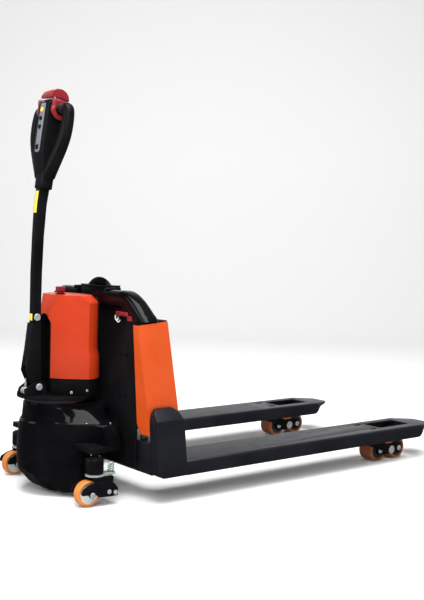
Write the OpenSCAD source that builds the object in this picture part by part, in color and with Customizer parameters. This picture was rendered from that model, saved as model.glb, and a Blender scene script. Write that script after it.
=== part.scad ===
// Electric pallet truck: chassis with a steered drive wheel, a tiller and a lifting pair of forks.
// Origin on the floor at the middle of the truck, +X towards the fork tips, +Z up.

/* [Forks] */
// Overall length of the truck
overall_length = 1507; // [1500:1:1515]
// Length of the forks ahead of the load face
fork_length = 1150; // [1130:5:1170]
// Width over both forks
fork_spread = 685; // [680:1:690]
// Width of one fork
fork_width = 160; // [156:1:164]
// Depth of a fork channel
fork_depth = 43; // [41:1:45]
// Height of the fork tops above the floor
fork_top = 121; // [120:1:122]
// Thickness of the fork plate
fork_wall = 5; // [4:1:6]

/* [Wheels] */
// Radius of the drive wheel
drive_r = 105; // [103:1:106]
// Width of the drive tyre
drive_w = 70; // [66:1:72]
// Radius of a load roller
roller_r = 39; // [38:1:39]
// Width of a load roller
roller_w = 58; // [54:1:60]
// Radius of a caster wheel
caster_r = 37; // [36:1:37]
// Sideways distance of each caster from the middle
caster_y = 223; // [222:1:224]

/* [Body] */
// Distance from the load face back to the steering axis
steer_back = 240; // [239:1:241]
// Half width over the orange side panels
panel_y = 300; // [299:1:300]
// Radius of the orange steering head cover
head_r = 120; // [118:1:121]
// Height of the top of the head cover
head_top = 588; // [586:1:589]

/* [Tiller] */
// Height of the tiller hinge
tiller_z = 317; // [316:1:318]
// Lean of the handle, in degrees
handle_lean = 8; // [6:1:9]

/* [Hidden] */

tip_x = overall_length / 2;
heel_x = tip_x - fork_length;
steer_x = heel_x - steer_back;
fork_y = (fork_spread - fork_width) / 2;
fork_bottom = fork_top - fork_depth;
run = 0.05;              // radial clearance of a shaft in its bore
mast_x = steer_x + 130;  // rear face of the mast plate
sheet = 3;               // sheet metal and moulded wall thickness
post_x = heel_x - 65;    // lift rods and cylinders
post_y = 215;
post_r = 12;
bogie_x = heel_x + 935;  // middle of the tandem rollers
rocker_z = fork_top - 22;
rocker_len = 180;
rocker_x = bogie_x - sqrt(pow(rocker_len, 2) - pow(rocker_z - roller_r, 2));
roller_half = 49;        // half distance between the two roller axles
arm_r = 10;              // radius of the rocker hinge pin
torsion_x = heel_x - 50;
torsion_z = 125;
rod_z = rocker_z - 14;
hinge_x = steer_x - 73;  // tiller hinge
spring_x = steer_x - 105;
spring_z = tiller_z - 11;
cheek = 11.5;            // half gap between the sleeve plates
head_base = [steer_x - 55, 0, 900];
grip_z = 232;            // grip height along the handle
pod_half = 30;
black = [0.08, 0.08, 0.09];
orange = [0.89, 0.28, 0.15];

$fn = 48;

// A shape drawn in X and Z, given a thickness in Y from y0 to y1.
module slab(y0, y1) {
    translate([0, y1, 0]) rotate([90, 0, 0]) linear_extrude(y1 - y0) children();
}

// A shape drawn in Y and Z, given a thickness in X from x0 to x1.
module web(x0, x1) {
    translate([x0, 0, 0]) rotate([90, 0, 90]) linear_extrude(x1 - x0) children();
}

// A round bar along Y from y0 to y1 at x, z.
module bar_y(x, z, r, y0, y1) {
    translate([x, y1, z]) rotate([90, 0, 0]) cylinder(h = y1 - y0, r = r);
}

// A round bar along Z from z0 to z1.
module bar_z(x, y, r, z0, z1) {
    translate([x, y, z0]) cylinder(h = z1 - z0, r = r);
}

// A box between two corners.
module block(a, b) {
    translate(a) cube(b - a);
}

module both_sides() {
    children();
    mirror([0, 1, 0]) children();
}

// Puts a piece drawn upright at the foot of the handle into the leaning handle frame.
module on_handle() {
    translate(head_base) rotate([0, handle_lean, 0]) children();
}

// ---------- chassis ----------

slew_plate_r = 92;
slew_bore = 72;
slew_z = 264;
floor_z = 262;

module chassis_frame() {
    color(black) {
        difference() {
            union() {
                web(mast_x, mast_x + 6) polygon([[-236, 92], [236, 92], [236, 258], [268, 258], [268, 512],
                    [262, 522], [192, 567], [-192, 567], [-262, 522], [-268, 512], [-268, 258], [-236, 258]]);
                block([steer_x, -slew_plate_r, slew_z - 12], [mast_x + 3, slew_plate_r, slew_z]);
                bar_z(steer_x, 0, slew_plate_r, slew_z - 12, slew_z);
                block([mast_x, -255, floor_z], [heel_x - 22, 255, floor_z + 6]);
            }
            bar_z(steer_x, 0, slew_bore + 8, slew_z - 13, slew_z + 1);
            for (s = [-1, 1]) bar_z(post_x, s * post_y, post_r + 3, floor_z - 1, floor_z + 7);
        }
        both_sides() {
            // mast side plate with the panel spacers
            slab(262, 268) polygon([[mast_x, floor_z], [heel_x - 22, floor_z],
                [heel_x - 60, 515], [mast_x, 515]]);
            for (z = [300, 470]) block([mast_x + 20, 268, z], [mast_x + 40, panel_y - sheet, z + 20]);
            // gusset and cross arm that reach out to the caster
            block([steer_x - 4, 128, 150], [mast_x + 1, 134, 210]);
            block([steer_x - 20, 133, 150], [steer_x + 30, 240, 166]);
        }
    }
}

cover_r = 116;       // drive cover radius around the steered wheel
cover_wall = 4;
cover_back = mast_x - 2;
pocket_r = 72;       // clear space round each caster
pocket_top = 143;
deck_r = 98;         // rim of the cover round the slew ring

// Plan of the drive cover: round in front of the wheel and wide at the back.
module cover_plan(shrink, grow) {
    difference() {
        translate([steer_x, 0]) scale(grow) hull() {
            circle(r = cover_r - shrink);
            for (s = [-1, 1]) translate([78, s * 160]) circle(r = 50 - shrink);
        }
        translate([cover_back, -400]) square([400, 800]);
    }
}

// Drive cover volume, shrunk by a wall thickness and standing on the height low.
module cover_solid(shrink, low) {
    hull() {
        translate([0, 0, low]) linear_extrude(0.5) cover_plan(shrink, 0.9);
        translate([0, 0, 60]) linear_extrude(0.5) cover_plan(shrink, 0.97);
        translate([0, 0, 110]) linear_extrude(0.5) cover_plan(shrink, 1);
        translate([0, 0, 150]) linear_extrude(0.5) cover_plan(shrink, 0.985);
        translate([0, 0, 218 - shrink / 2]) linear_extrude(0.5) cover_plan(shrink, 0.93);
        bar_z(steer_x, 0, deck_r - shrink, 262, 270 - shrink);
        block([steer_x, shrink - deck_r, 262], [cover_back, deck_r - shrink, 270 - shrink]);
    }
}

// The same volume with a closed pocket round each caster.
module cover_volume(wall, low) {
    difference() {
        cover_solid(wall, low);
        both_sides() bar_z(steer_x, caster_y, pocket_r + wall, 0, pocket_top + wall);
    }
}

module drive_cover() {
    color(black) difference() {
        cover_volume(0, 14);
        cover_volume(cover_wall, 13.8);
        bar_z(steer_x, 0, slew_plate_r + 0.5, 240, 280);
        block([steer_x, -slew_plate_r - 0.5, 250], [steer_x + 200, slew_plate_r + 0.5, 280]);
        // open towards the mast plate and low down behind the wheel
        block([steer_x + 112, -140, pocket_top], [steer_x + 200, 140, 225]);
        block([steer_x + 26, -300, 0], [steer_x + 200, 300, pocket_top]);
        // the lower edge rises towards the front
        slab(-300, 300) polygon([[steer_x - 200, 0], [steer_x - 200, 106], [steer_x - 33, 14], [steer_x - 33, 0]]);
        both_sides() {
            block([steer_x - 21, 130, 149], [steer_x + 31, 300, 167]);
            bar_z(steer_x, caster_y, 9, pocket_top - 3, 150);
        }
    }
}

module slew_ring() {
    color("dimgray") difference() {
        bar_z(steer_x, 0, 90, slew_z, slew_z + 18);
        bar_z(steer_x, 0, slew_bore, slew_z - 1, slew_z + 19);
    }
}

pack_x0 = mast_x + 8;
pack_x1 = mast_x + 50;
pack_y = 70;
pack_z0 = 290;
pack_z1 = 592;

module battery_box() {
    color(black) difference() {
        block([mast_x + 6, -pack_y - 6, floor_z + 6], [pack_x1 + 5, pack_y + 6, 570]);
        block([pack_x0 - 0.6, -pack_y - 2, pack_z0], [pack_x1 + 2, pack_y + 2, 571]);
    }
}

module front_cover() {
    color(black) {
        slab(-panel_y + sheet + 1, panel_y - sheet - 1)
            polygon([[heel_x - 15, floor_z], [heel_x - 12, floor_z],
                [heel_x - 51, 528], [heel_x - 54, 528]]);
        both_sides() block([hood_x1 + 1, pack_y + 8, 525], [heel_x - 52, panel_y - sheet - 1, 528]);
    }
}

fold_top = [heel_x - 155, 515];
fold_low = [heel_x - 103, 195];
fold_lean = atan((fold_low.x - fold_top.x) / (fold_top.y - fold_low.y));
fold_len = norm(fold_low - fold_top);

module side_panel() {
    color(orange) {
        slab(panel_y - sheet, panel_y) polygon([fold_top, [heel_x - 51, 525],
            [heel_x - 4.5, floor_z], [heel_x - 101, floor_z], [heel_x - 101, fold_low.y], fold_low]);
        // return flange along the sloping rear edge, wider at the bottom
        translate([fold_top.x, panel_y, fold_top.y]) rotate([0, -fold_lean, 0])
            web(0, sheet) polygon([[0, 0], [-22, 0], [-62, 30 - fold_len], [-52, -fold_len], [0, -fold_len]]);
    }
}

hood_x0 = steer_x + 108;
hood_x1 = mast_x + 34;
block_x0 = steer_x + 117;   // back and front of the battery's top block
block_x1 = steer_x + 176;
block_z = 580;

module hood() {
    color(black) difference() {
        web(hood_x0, hood_x1) polygon([[-304, 524], [-240, 577], [-196, 602], [-184, 606], [184, 606],
            [196, 602], [240, 577], [304, 524], [264, 524], [190, 572], [-190, 572], [-264, 524]]);
        bar_z(steer_x, 0, head_r + 5, 500, pack_z1);
        block([pack_x0 - 0.6, -pack_y - 2, 500], [pack_x1 + 2, pack_y + 2, 700]);
        block([steer_x + 80, -pack_y - 6, block_z - 1], [hood_x1 + 1, pack_y + 6, 700]);
    }
}

module lift_cylinders() {
    color("dimgray") both_sides() difference() {
        bar_z(post_x, post_y, 22, floor_z + 6, 434);
        bar_z(post_x, post_y, post_r + run, floor_z + 5, 428);
    }
}

module power_pack() {
    color("silver") {
        block([mast_x + 8, 160, 440], [mast_x + 48, 250, 486]);
        bar_y(mast_x + 30, 499, 22, 165, 245);
    }
}

module caster_mounts() {
    color(black) both_sides() {
        difference() {
            bar_z(steer_x, caster_y, 26.5, 93, 137);
            bar_z(steer_x, caster_y, 12, 92, 130);
        }
        bar_z(steer_x, caster_y, 8, 137, 150);
    }
}

module battery_connector() {
    color([0.75, 0.16, 0.2]) {
        block([mast_x - 22, -214, 534], [mast_x, -150, 546]);
        block([mast_x - 24, -236, 522], [mast_x, -214, 536]);
    }
}

module chassis_bolts() {
    color("silver") for (y = [-180, -150, 150, 180], z = [300, 420])
        translate([mast_x - 4, y, z]) rotate([0, 90, 0]) cylinder(h = 4, r = 5);
}

// ---------- steered drive unit and head ----------

plate_z = 284;
plate_r = 117;

module steering_plate() {
    color(black) {
        bar_z(steer_x, 0, plate_r, plate_z, plate_z + 8);
        bar_z(steer_x, 0, slew_bore - run, plate_z - 34, plate_z + 1);
        both_sides() difference() {
            slab(17, 25) polygon([[steer_x - plate_r, plate_z + 6], [steer_x - plate_r, 300], [steer_x - 112, 314],
                [hinge_x - 10, 333], [hinge_x + 10, 333], [hinge_x + 22, 320], [hinge_x + 26, plate_z + 6]]);
            bar_y(hinge_x, tiller_z, 8, 16, 26);
        }
        // pin of the return spring on its lug
        bar_y(spring_x, spring_z, 6, -11, 11);
        slab(-2.5, 2.5) polygon([[spring_x - 6, spring_z], [spring_x - 6, plate_z + 4],
            [spring_x + 12, plate_z + 4], [spring_x + 6, spring_z]]);
    }
}

head_front = 45;
skirt_r = head_r - 2;

// Plan of the head cover: a flat front and two slanting cheeks, moved back by a distance.
module head_plan(back) {
    translate([steer_x + back, 0]) polygon([[-head_front, -26], [-head_front, 26], [-10, 68], [45, 110],
        [45, 200], [200, 200], [200, -200], [45, -200], [45, -110], [-10, -68]]);
}

module head_skirt() {
    color(black) difference() {
        intersection() {
            bar_z(steer_x, 0, skirt_r, plate_z + 8, head_low - 0.5);
            linear_extrude(700) head_plan(2);
        }
        intersection() {
            bar_z(steer_x, 0, skirt_r - 3, 0, 700);
            linear_extrude(700) head_plan(6);
        }
        block([steer_x - 60, -32, 0], [steer_x - 10, 32, 700]);
    }
}

gear_y = 40;

module drive_gearbox() {
    color("dimgray") {
        bar_z(steer_x, 0, 68, 226, plate_z - 34);
        block([steer_x - 45, gear_y, drive_r], [steer_x + 45, gear_y + 34, 227]);
        bar_y(steer_x, drive_r, 62, gear_y, gear_y + 36);
        bar_y(steer_x, drive_r, 20 - run, -drive_w / 2, gear_y + 1);
    }
}

module drive_hub() {
    color("silver") difference() {
        bar_y(steer_x, drive_r, 78, -drive_w / 2 + 2, drive_w / 2 - 2);
        bar_y(steer_x, drive_r, 20, -drive_w, drive_w);
        for (s = [-1, 1])
            bar_y(steer_x, drive_r, 62, s * (drive_w / 2 + 8) - 14, s * (drive_w / 2 + 8) + 14);
    }
    color("silver") difference() {
        bar_y(steer_x, drive_r, 34, -drive_w / 2 + 4, drive_w / 2 - 4);
        bar_y(steer_x, drive_r, 20, -drive_w, drive_w);
    }
}

module drive_tyre() {
    color([0.55, 0.3, 0.15]) difference() {
        bar_y(steer_x, drive_r, drive_r, -drive_w / 2, drive_w / 2);
        bar_y(steer_x, drive_r, 78, -drive_w, drive_w);
    }
}

motor_x = steer_x + 42;

module drive_motor() {
    color("dimgray") {
        bar_z(motor_x, 0, 46, plate_z + 8, 430);
        bar_z(motor_x, 0, 36, 430, 468);
    }
}

module controller() {
    color("silver") block([steer_x + 14, 50, plate_z + 8], [steer_x + 84, 74, 430]);
}

head_low = 342;
stop_x = steer_x + 8;

// Steering head cover volume, shrunk by a wall thickness.
module head_solid(shrink) {
    intersection() {
        union() {
            bar_z(steer_x, 0, head_r - shrink, head_low - shrink, head_top - 20 - shrink / 2);
            translate([steer_x, 0, head_top - 20 - shrink / 2])
                cylinder(h = 20 - shrink / 2, r1 = head_r - shrink, r2 = head_r - 20 - shrink);
        }
        linear_extrude(700) head_plan(shrink * 1.3);
        // the front leans back above the recess
        slab(-200, 200) translate([steer_x + shrink, 0]) polygon([[-head_front - 1, 0], [-head_front - 1, 531],
            [-20, head_top], [-20, 700], [200, 700], [200, 0]]);
    }
}

module head_cover() {
    color(orange) difference() {
        head_solid(0);
        difference() {
            head_solid(sheet);
            block([steer_x - 60, -35, head_low - 10], [steer_x - 7, 35, 533]);
        }
        block([steer_x - 60, -32, head_low - 10], [steer_x - 10, 32, 530]);
        bar_z(stop_x, 0, 14.3, 500, 700);
    }
}

module estop_base() {
    color(black) difference() {
        union() {
            bar_z(stop_x, 0, 15, head_top, head_top + 3);
            bar_z(stop_x, 0, 14, head_top - 28, head_top + 1);
        }
        bar_z(stop_x, 0, 10, head_top - 40, head_top + 10);
    }
}

module estop_button() {
    color([0.75, 0.16, 0.2]) {
        bar_z(stop_x, 0, 10 - run, head_top - 20, head_top + 10);
        bar_z(stop_x, 0, 14.5, head_top + 9, head_top + 23);
    }
}

module return_spring() {
    color("silver") {
        both_sides() difference() {
            bar_y(spring_x, spring_z, 12, 3, 10);
            bar_y(spring_x, spring_z, 6 + run, 2, 11);
        }
        block([spring_x - 3, -4, spring_z + 8], [spring_x + 3, 4, spring_z + 38]);
    }
}

// ---------- tiller ----------

module tiller_sleeve() {
    color(black) {
        both_sides() difference() {
            union() {
                slab(cheek, cheek + 4) translate([steer_x, 0]) polygon([[-92, 505], [-64, 505], [-62, 400],
                    [-60, 330], [-61, 317], [-85, 317], [-98, 334], [-112, 366], [-101, 433]]);
                bar_y(hinge_x, tiller_z, 13, cheek, cheek + 4);
            }
            bar_y(hinge_x, tiller_z, 8 - run, 10, 20);
        }
        slab(-cheek, cheek) translate([steer_x, 0])
            polygon([[-92, 505], [-89, 505], [-98, 433], [-107, 380], [-110, 380], [-101, 433]]);
    }
}

// Middle line of the tiller arm and its depth at each point.
arm_points = [[-76, 384], [-75, 520], [-74, 650], [-70, 760], [-64, 850], [-52.5, 925]];
bolt_x = steer_x - 76;
bolt_z = 522;
arm_depth = [25, 26, 27, 28, 31, 34];
arm_half = cheek - 0.5;

function arm_edge(side, shrink) = [for (i = [0 : len(arm_points) - 1])
    arm_points[i] + [steer_x + side * (arm_depth[i] / 2 - shrink), 0]];
function reversed(list) = [for (i = [len(list) - 1 : -1 : 0]) list[i]];

module tiller_arm() {
    color(black) difference() {
        slab(-arm_half, arm_half) polygon(concat(arm_edge(-1, 0), reversed(arm_edge(1, 0))));
        slab(-arm_half + 3, arm_half - 3)
            polygon(concat([[steer_x - 85, 383]], arm_edge(-1, 3), reversed(arm_edge(1, 3)), [[steer_x - 67, 383]]));
        bar_y(bolt_x, bolt_z, 6, -20, 20);
    }
}

module tiller_pins() {
    color("silver") {
        bar_y(hinge_x, tiller_z, 8 - run, -27, 27);
        both_sides() bar_y(hinge_x, tiller_z, 10.5, 26, 29);
        bar_y(bolt_x, bolt_z, 6, -12, 12);
        both_sides() bar_y(bolt_x, bolt_z, 9, arm_half, arm_half + 3);
    }
}

pod_back = -36;
pod_front = 24;
pod_top = 262;

module handle_outline() {
    polygon([[-28, 0], [-31, 34], [-52, 70], [-88, 120], [-102, 160], [-104, 205], [-98, 236],
        [-84, 247], [-80, 247], [-80, 216], [-72, 160], [-58, 122], [-36, 92], [36, 92], [58, 122],
        [72, 160], [80, 216], [80, 247], [84, 247], [98, 236], [104, 205], [102, 160], [88, 120],
        [52, 70], [31, 34], [28, 0]]);
}

module handle_shell() {
    color(black) on_handle() difference() {
        union() {
            web(-17, 17) handle_outline();
            slab(-pod_half, pod_half) polygon([[-20, 40], [pod_back, 95], [pod_back, pod_top],
                [pod_front, pod_top], [pod_front, 60], [17, 40]]);
            both_sides() {
                bar_y(0, grip_z, 10 - run, pod_half - 1, 42);
                bar_y(0, grip_z, 13, 36.5, 81);
            }
            block([-20, -20, -2], [20, 20, 45]);
        }
        // socket for the arm tube
        block([-18.5, -cheek, -10], [18.5, cheek, 32]);
        // pockets behind the buttons
        for (z = [225, 200, 175]) translate([pod_back - 1, 0, z]) rotate([0, 90, 0]) cylinder(h = 13, r = 5.1);
        block([pod_back - 1, -5.1, 109.9], [pod_back + 12, 5.1, 120.1]);
        block([-5, -14, pod_top - 14], [5, 14, pod_top + 1]);
    }
}

module handle_grips() {
    color([0.2, 0.2, 0.22]) on_handle() both_sides() difference() {
        bar_y(0, grip_z, 16, 37, 80);
        bar_y(0, grip_z, 13, 36, 81);
    }
}

plate_x = pod_back - 3;

module face_plate() {
    color("gray") on_handle() difference() {
        block([plate_x, -13, 100], [pod_back, 13, 245]);
        for (z = [225, 200, 175]) translate([plate_x - 1, 0, z]) rotate([0, 90, 0]) cylinder(h = 9, r = 7);
        block([plate_x - 1, -7, 108], [plate_x + 9, 7, 122]);
    }
}

module round_button(z) {
    translate([plate_x - 3, 0, z]) rotate([0, 90, 0]) cylinder(h = 4, r = 6.5);
    translate([plate_x + 1, 0, z]) rotate([0, 90, 0]) cylinder(h = 10, r = 5);
}

module horn_button() {
    color([0.75, 0.6, 0.1]) on_handle() round_button(225);
}

module lift_button() {
    color("dimgray") on_handle() round_button(200);
}

module lower_button() {
    color("dimgray") on_handle() round_button(175);
}

module speed_button() {
    color(black) on_handle() {
        block([plate_x - 2.5, -6.5, 108.5], [plate_x + 1, 6.5, 121.5]);
        block([plate_x, -4.8, 110.2], [plate_x + 11, 4.8, 119.8]);
    }
}

module throttle() {
    color([0.75, 0.16, 0.2]) on_handle() both_sides() difference() {
        bar_y(0, grip_z, 34, pod_half + 1, 50);
        bar_y(0, grip_z, 20, pod_half + 5, 51);
        bar_y(0, grip_z, 10, pod_half, 51);
        // the horseshoe is open towards the top
        slab(pod_half, 51) polygon([[-14, grip_z + 16], [24, grip_z + 16], [40, grip_z + 40], [-22, grip_z + 50]]);
    }
}

module reverse_button() {
    color([0.75, 0.16, 0.2]) on_handle() {
        difference() {
            block([-34, -29, pod_top + 4], [30, 29, pod_top + 30]);
            for (s = [-1, 1]) translate([-2 + s * 36, 0, pod_top + 33]) rotate([0, 45, 0])
                cube([22, 70, 22], center = true);
        }
        block([-4.8, -13.8, pod_top - 8], [4.8, 13.8, pod_top + 5]);
    }
}

// ---------- battery ----------

module battery_pack() {
    color([0.12, 0.12, 0.13]) {
        block([pack_x0, -pack_y, pack_z0 + 1], [pack_x1, pack_y, pack_z1]);
        difference() {
            block([block_x0, -pack_y - 4, block_z], [block_x1, pack_y + 4, 616]);
            block([block_x0 + 5, -38, 596], [block_x1 - 5, 38, 630]);
        }
        // arched grip over the finger pocket
        web(block_x0 + 22, block_x1 - 23) difference() {
            translate([0, 548]) circle(r = 92);
            translate([0, 548]) circle(r = 74);
            translate([-200, 300]) square([400, 311]);
        }
    }
}

// ---------- forks and lifting carriage ----------

module fork_plan() {
    half = fork_width / 2;
    polygon([[heel_x, -half], [tip_x - 95, -half], [tip_x - 30, -52], [tip_x - 6, -36], [tip_x, -20],
        [tip_x, 20], [tip_x - 6, 36], [tip_x - 30, 52], [tip_x - 95, half], [heel_x, half]]);
}

module fork() {
    half = fork_width / 2;
    color(black) translate([0, fork_y, 0]) {
        difference() {
            translate([0, 0, fork_bottom]) linear_extrude(fork_depth) fork_plan();
            // hollow underside
            block([heel_x - 1, -half + fork_wall, 0], [tip_x - 110, half - fork_wall, fork_top - fork_wall]);
            // slope under the nose
            slab(-200, 200) polygon([[tip_x - 150, fork_bottom - 20], [tip_x - 150, fork_bottom],
                [tip_x - 100, fork_bottom], [tip_x - 60, fork_top - 17], [tip_x + 5, fork_top - 12],
                [tip_x + 5, fork_bottom - 20]]);
            // roller window and the two small slots behind it
            block([heel_x + 878, -41, 0], [heel_x + 1030, 41, 200]);
            for (s = [-1, 1]) {
                block([heel_x + 836, s * 38 - 6, 0], [heel_x + 856, s * 38 + 6, 200]);
                bar_z(heel_x + 836, s * 38, 6, 0, 200);
                bar_z(heel_x + 856, s * 38, 6, 0, 200);
            }
            // nose top slopes down a little
            slab(-200, 200) polygon([[tip_x - 90, fork_top], [tip_x + 5, fork_top - 5], [tip_x + 5, fork_top + 5],
                [tip_x - 90, fork_top + 5]]);
        }
        bar_y(rocker_x, rocker_z, arm_r, -half + fork_wall - 1, half - fork_wall + 1);
    }
}

hump_in = panel_y + 2;
beam_x0 = heel_x - 96;

module fork_heel() {
    color(black) {
        difference() {
            block([beam_x0, -hump_in, 80], [heel_x, hump_in, 172]);
            block([beam_x0 + 6, -hump_in + 12, 79], [heel_x - 6, hump_in - 12, 166]);
            for (s = [-1, 1]) translate([heel_x - 10, s * fork_y, rod_z]) rotate([0, 90, 0]) cylinder(h = 20, r = 8);
        }
        // bearing ribs of the torsion shaft
        both_sides() {
            for (y = [60, 240]) difference() {
                block([beam_x0 + 5, y, 100], [heel_x - 5, y + 12, 167]);
                bar_y(torsion_x, torsion_z, 14 + run, y - 1, y + 13);
            }
            difference() {
                slab(hump_in, fork_spread / 2) polygon([[heel_x - 82, fork_bottom], [heel_x - 96, 86],
                    [heel_x - 102, 100], [heel_x - 108, 236], [heel_x - 105, 262], [heel_x - 94, 276],
                    [heel_x - 44, 276], [heel_x - 26, 264], [heel_x - 14, 236], [heel_x, fork_top], [heel_x, fork_bottom]]);
                // the top slopes up towards the side panel
                translate([0, fork_spread / 2, 242]) rotate([45, 0, 0]) block([-600, -5, 0], [0, 100, 60]);
            }
        }
    }
}

module lift_rods() {
    color("silver") both_sides() bar_z(post_x, post_y, post_r, 172, 340);
}

module torsion_shaft() {
    color("dimgray") {
        bar_y(torsion_x, torsion_z, 14, -278, 278);
        both_sides() slab(fork_y - 5, fork_y + 5)
            polygon([[torsion_x - 14, torsion_z], [torsion_x - 8, rod_z], [torsion_x + 8, rod_z], [torsion_x + 14, torsion_z]]);
    }
}

module push_rod() {
    color("dimgray") translate([torsion_x + 13, fork_y, rod_z]) rotate([0, 90, 0])
        cylinder(h = rocker_x - 26 - torsion_x - 13, r = 6);
}

module rocker() {
    color(black) translate([0, fork_y, 0]) {
        difference() {
            union() {
                bar_y(rocker_x, rocker_z, 16, -46, 46);
                for (y = [-46, 40]) {
                    slab(y, y + 6) polygon([[rocker_x - 4, rocker_z + 12], [rocker_x + 12, rocker_z + 12],
                        [bogie_x + 8, roller_r + 12], [bogie_x - 6, roller_r - 13], [rocker_x - 4, rocker_z - 14]]);
                    bar_y(bogie_x, roller_r, 14, y, y + 6);
                }
            }
            bar_y(rocker_x, rocker_z, arm_r + run, -50, 50);
        }
        bar_y(bogie_x, roller_r, 7 - run, -46, 46);
    }
}

module bogie() {
    color(black) translate([0, fork_y, 0]) {
        for (y = [-38, 32]) difference() {
            slab(y, y + 6) hull() {
                for (s = [-1, 1]) translate([bogie_x + s * roller_half, roller_r]) circle(r = 17);
                translate([bogie_x, roller_r + 4]) circle(r = 17);
            }
            bar_y(bogie_x, roller_r, 7, -50, 50);
        }
        for (s = [-1, 1]) bar_y(bogie_x + s * roller_half, roller_r, 8 - run, -38, 38);
    }
}

module roller(side) {
    color([0.55, 0.3, 0.15]) translate([0, fork_y, 0]) difference() {
        bar_y(bogie_x + side * roller_half, roller_r, roller_r, -roller_w / 2, roller_w / 2);
        bar_y(bogie_x + side * roller_half, roller_r, 8, -60, 60);
    }
}

// ---------- casters ----------

caster_x = steer_x - 23;
pivot_x = steer_x + 32;
pivot_z = 40;
tie_x = steer_x + 55;

module caster_swivel() {
    color("silver") translate([0, caster_y, 0]) {
        bar_z(steer_x, 0, 12 - run, 86, 128);
        difference() {
            hull() {
                bar_z(steer_x, 0, 26, 84, 90);
                bar_z(tie_x, 0, 13, 84, 90);
            }
            bar_z(tie_x, 0, 3.5, 80, 95);
        }
        bar_z(tie_x, 0, 3.5, 50, 118);
        bar_z(tie_x, 0, 9, 114, 118);
        for (y = [-25, 20]) difference() {
            slab(y, y + 5) polygon([[steer_x - 18, 84], [steer_x + 50, 84], [pivot_x + 14, pivot_z - 6],
                [pivot_x - 10, pivot_z - 8], [steer_x - 18, 78]]);
            bar_y(pivot_x, pivot_z, 6, -40, 40);
        }
        for (y = [-25, 16]) block([steer_x - 18, y, 84], [steer_x + 40, y + 9, 88]);
    }
}

module caster_arm() {
    color(black) translate([0, caster_y, 0]) {
        for (y = [-31, 26])
            slab(y, y + 5) polygon([[caster_x - 34, caster_r + 3], [caster_x - 36, caster_r + 10],
                [caster_x - 30, caster_r + 20], [caster_x - 12, caster_r + 30], [steer_x - 8, 74],
                [steer_x + 12, 76], [tie_x - 10, 66], [tie_x + 6, 50], [tie_x + 6, 26], [tie_x - 20, 26],
                [caster_x + 22, caster_r - 9], [caster_x + 9, caster_r - 6], [caster_x, caster_r - 10],
                [caster_x - 9, caster_r - 6]]);
        bar_y(pivot_x, pivot_z, 6 - run, -33, 33);
        bar_y(caster_x, caster_r, 6 - run, -31, 31);
        block([tie_x - 6, -31, 30], [tie_x + 6, 31, 40]);
    }
}

module caster_wheel() {
    color([0.85, 0.45, 0.15]) translate([0, caster_y, 0]) difference() {
        bar_y(caster_x, caster_r, caster_r, -15, 15);
        bar_y(caster_x, caster_r, 6, -20, 20);
    }
}

module caster_spring() {
    color("palegreen") translate([0, caster_y, 0]) difference() {
        bar_z(tie_x, 0, 10, 90.3, 113.5);
        bar_z(tie_x, 0, 6.5, 90, 114);
    }
}

chassis_frame();
drive_cover();
slew_ring();
battery_box();
front_cover();
side_panel();  // side_panel_left
mirror([0, 1, 0]) side_panel();  // side_panel_right
hood();
lift_cylinders();
power_pack();
caster_mounts();
battery_connector();
chassis_bolts();
steering_plate();
head_skirt();
drive_gearbox();
drive_motor();
head_cover();
controller();
estop_base();
return_spring();
drive_tyre();
drive_hub();
tiller_sleeve();
tiller_arm();
tiller_pins();
handle_shell();
face_plate();
handle_grips();
throttle();
reverse_button();
horn_button();
lift_button();
lower_button();
speed_button();
estop_button();
battery_pack();
fork();  // fork_left
mirror([0, 1, 0]) fork();  // fork_right
fork_heel();
lift_rods();
torsion_shaft();
push_rod();  // push_rod_left
mirror([0, 1, 0]) push_rod();  // push_rod_right
rocker();  // rocker_left
mirror([0, 1, 0]) rocker();  // rocker_right
bogie();  // bogie_left
mirror([0, 1, 0]) bogie();  // bogie_right
roller(-1);  // roller_left_rear
roller(1);  // roller_left_front
mirror([0, 1, 0]) roller(-1);  // roller_right_rear
mirror([0, 1, 0]) roller(1);  // roller_right_front
caster_swivel();  // caster_swivel_left
mirror([0, 1, 0]) caster_swivel();  // caster_swivel_right
caster_arm();  // caster_arm_left
mirror([0, 1, 0]) caster_arm();  // caster_arm_right
caster_wheel();  // caster_wheel_left
mirror([0, 1, 0]) caster_wheel();  // caster_wheel_right
caster_spring();  // caster_spring_left
mirror([0, 1, 0]) caster_spring();  // caster_spring_right
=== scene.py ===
from math import atan2, copysign, cos, degrees, exp, hypot, pi, radians, sin, sqrt, tan, tau

import bmesh
import bpy
from mathutils import Matrix, Vector


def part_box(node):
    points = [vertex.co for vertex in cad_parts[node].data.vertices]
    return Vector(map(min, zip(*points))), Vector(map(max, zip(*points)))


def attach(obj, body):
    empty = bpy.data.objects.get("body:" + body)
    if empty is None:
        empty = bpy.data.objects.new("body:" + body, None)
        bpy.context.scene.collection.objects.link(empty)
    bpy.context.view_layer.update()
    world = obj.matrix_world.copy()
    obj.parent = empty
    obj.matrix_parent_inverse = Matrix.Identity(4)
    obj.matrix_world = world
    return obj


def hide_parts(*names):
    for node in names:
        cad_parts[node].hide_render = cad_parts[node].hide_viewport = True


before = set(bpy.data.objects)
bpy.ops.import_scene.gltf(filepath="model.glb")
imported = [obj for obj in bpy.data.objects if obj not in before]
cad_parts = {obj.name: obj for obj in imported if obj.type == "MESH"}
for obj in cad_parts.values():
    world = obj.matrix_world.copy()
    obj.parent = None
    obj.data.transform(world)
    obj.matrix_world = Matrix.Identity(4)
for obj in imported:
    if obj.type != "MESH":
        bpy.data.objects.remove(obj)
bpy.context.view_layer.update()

MM = 0.001
STILL = Matrix.Identity(4)
SIDES = ((1, "left"), (-1, "right"))
CORE = 0.01  # radius that closes a turned profile at its axis


# ---------- places, all in millimetres and taken from the CAD boxes ----------

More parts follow.
